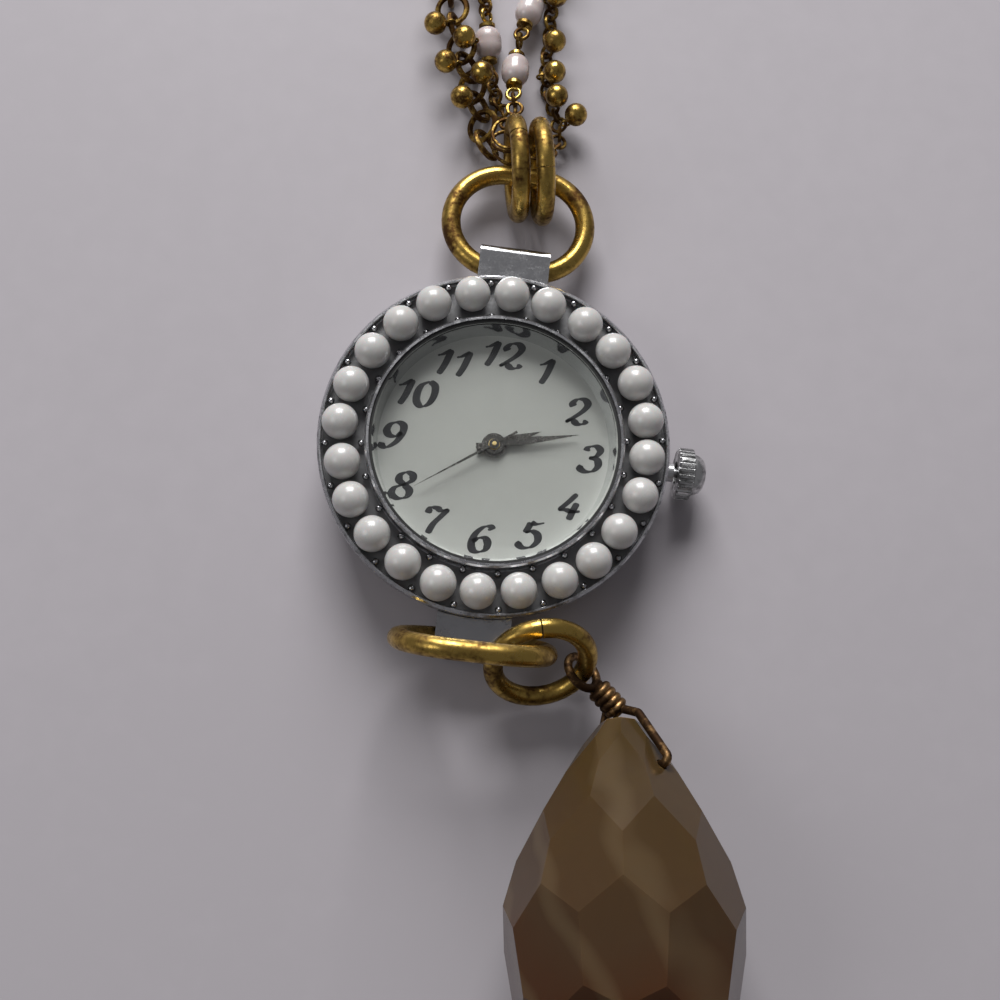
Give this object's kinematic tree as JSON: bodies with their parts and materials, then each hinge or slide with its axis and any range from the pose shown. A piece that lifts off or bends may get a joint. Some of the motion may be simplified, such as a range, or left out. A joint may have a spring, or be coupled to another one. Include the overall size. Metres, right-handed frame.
{
  "type": "pendant watch",
  "caption": "Round pendant watch with a pearl-set bezel, oval rings in tunnel lugs, a strand necklace put away as a coil and a wired faceted stone drop.",
  "frame": {"origin": "centre of the case back's flat resting face", "axes": "+Y towards 12 o'clock, +X towards the crown, +Z out of the dial"},
  "size_m": [0.041, 0.1309, 0.0193],
  "materials": {
    "antique_brass": "antiqued, dark in the hollows",
    "ball_brass": "antiqued, polished",
    "bead": "glossy, faintly pink",
    "black_rubber": "matte",
    "board": "lacquered board",
    "bright_steel": "polished",
    "case_metal": "plated, antiqued in the hollows",
    "chain_gold": "antiqued gold tone",
    "coil_copper": "enamelled wire",
    "crown_metal": "polished with dark flutes",
    "crystal": "clear polished",
    "dial": "satin, printed numerals",
    "drop_wire": "dark antiqued wire",
    "holder_plastic": "moulded",
    "magnet": "dark sintered",
    "movement_brass": "plain machined",
    "pearl": "pearlescent, satin gloss",
    "polished_steel": "fine brushed",
    "soft_iron": "plain",
    "stone": "polished facets"
  },
  "bodies": {
    "case": {"case_body": "case_metal", "crown_tube": "polished_steel", "case_back": "polished_steel", "case_back_gasket": "black_rubber", "bezel_ring": "case_metal", "pearls": "pearl", "crystal": "crystal", "crystal_gasket": "black_rubber", "flange_ring": "bright_steel", "dial": "dial", "movement_holder": "holder_plastic", "main_plate": "movement_brass", "train_bridge": "movement_brass", "bridge_screws": "polished_steel", "battery_cell": "polished_steel", "battery_clip": "bright_steel", "circuit_board": "board", "quartz_can": "bright_steel", "motor_coil": "coil_copper", "stator_plate": "soft_iron"},
    "rotor": {"rotor": "magnet"},
    "intermediate_wheel": {"intermediate_wheel": "movement_brass"},
    "third_wheel": {"third_wheel": "movement_brass"},
    "seconds": {"seconds_wheel": "movement_brass", "seconds_hand": "bright_steel"},
    "minute": {"centre_wheel": "movement_brass", "minute_hand": "bright_steel"},
    "minute_wheel": {"minute_wheel": "movement_brass"},
    "hour": {"hour_wheel": "movement_brass", "hour_hand": "bright_steel"},
    "setting_lever": {"setting_lever": "polished_steel"},
    "crown": {"winding_stem": "polished_steel", "crown": "crown_metal"},
    "bail_ring": {"bail_ring": "antique_brass"},
    "jump_rings": {"jump_ring_left": "antique_brass", "jump_ring_right": "antique_brass"},
    "necklace": {"rolo_links": "chain_gold", "rolo_balls": "ball_brass", "fine_links": "chain_gold", "fine_balls": "ball_brass", "bead_links_left": "chain_gold", "bead_links_right": "chain_gold", "bead_pins": "ball_brass", "strand_beads": "bead", "gather_ring_left": "antique_brass", "gather_ring_right": "antique_brass", "necklace_lead_left": "chain_gold", "necklace_coil": "chain_gold", "necklace_lead_right": "chain_gold"},
    "lower_ring": {"lower_ring": "antique_brass"},
    "link_ring": {"link_ring": "antique_brass"},
    "drop_wire": {"drop_wire": "drop_wire"},
    "stone_drop": {"agate_drop": "stone"}
  },
  "joints": [
    {"name": "seconds_turn", "type": "hinge", "parent": "case", "child": "seconds", "pos_m": [0, 0, 0.00175], "axis": [0, 0, -1], "continuous": true},
    {"name": "rotor_turn", "type": "hinge", "parent": "case", "child": "rotor", "pos_m": [-0.0007, -0.00502, 0.0019], "axis": [0, 0, -1], "continuous": true},
    {"name": "intermediate_turn", "type": "hinge", "parent": "case", "child": "intermediate_wheel", "pos_m": [0, -0.0031, 0.0019], "axis": [0, 0, -1], "continuous": true},
    {"name": "third_turn", "type": "hinge", "parent": "case", "child": "third_wheel", "pos_m": [-0.00265, 0.00153, 0.0019], "axis": [0, 0, -1], "continuous": true},
    {"name": "minute_turn", "type": "hinge", "parent": "case", "child": "minute", "pos_m": [0, 0, 0.003], "axis": [0, 0, -1], "continuous": true},
    {"name": "minute_wheel_turn", "type": "hinge", "parent": "case", "child": "minute_wheel", "pos_m": [0.0012, 0.00208, 0.0035], "axis": [0, 0, -1], "continuous": true},
    {"name": "hour_turn", "type": "hinge", "parent": "case", "child": "hour", "pos_m": [0, 0, 0.0037], "axis": [0, 0, -1], "continuous": true},
    {"name": "stem_pull", "type": "slide", "parent": "case", "child": "setting_lever", "axis": [1, 0, 0], "range_m": [0, 0.001]},
    {"name": "crown_turn", "type": "hinge", "parent": "setting_lever", "child": "crown", "pos_m": [0.0055, 0, 0.0028], "axis": [1, 0, 0], "continuous": true},
    {"name": "bail_swing", "type": "hinge", "parent": "case", "child": "bail_ring", "pos_m": [0, 0.0163, 0.0029], "axis": [1, 0, 0], "range_deg": [-2, 70]},
    {"name": "jump_rings_swing", "type": "hinge", "parent": "bail_ring", "child": "jump_rings", "pos_m": [0, 0.02549, 0.00255], "axis": [1, 0, 0], "range_deg": [-50, 50]},
    {"name": "necklace_swing", "type": "hinge", "parent": "jump_rings", "child": "necklace", "pos_m": [0.00033, 0.0252, 0.0047], "axis": [0.9848, 0.1736, 0], "range_deg": [0, 20]},
    {"name": "lower_ring_swing", "type": "hinge", "parent": "case", "child": "lower_ring", "pos_m": [0, -0.0163, 0.0029], "axis": [1, 0, 0], "range_deg": [-10, 30]},
    {"name": "link_ring_swing", "type": "hinge", "parent": "lower_ring", "child": "link_ring", "pos_m": [0.00555, -0.01688, 0.00556], "axis": [0.4081, -0.196, 0.8916], "range_deg": [-8, 8]},
    {"name": "drop_wire_swing", "type": "hinge", "parent": "link_ring", "child": "drop_wire", "pos_m": [0.0093, -0.01797, 0.00381], "axis": [0.3269, 0.6392, 0.6961], "range_deg": [-10, 10]},
    {"name": "stone_swing", "type": "hinge", "parent": "drop_wire", "child": "stone_drop", "pos_m": [0.01307, -0.02632, 0.00528], "axis": [0.544, 0.3073, 0.7808], "range_deg": [-6, 6]}
  ],
  "couplings": [
    {"joint": "rotor_turn", "follows": "seconds_turn", "ratio": 30},
    {"joint": "intermediate_turn", "follows": "seconds_turn", "ratio": -4},
    {"joint": "third_turn", "follows": "seconds_turn", "ratio": -0.13333},
    {"joint": "minute_turn", "follows": "seconds_turn", "ratio": 0.016667},
    {"joint": "minute_wheel_turn", "follows": "seconds_turn", "ratio": -0.0055556},
    {"joint": "hour_turn", "follows": "seconds_turn", "ratio": 0.0013889}
  ]
}
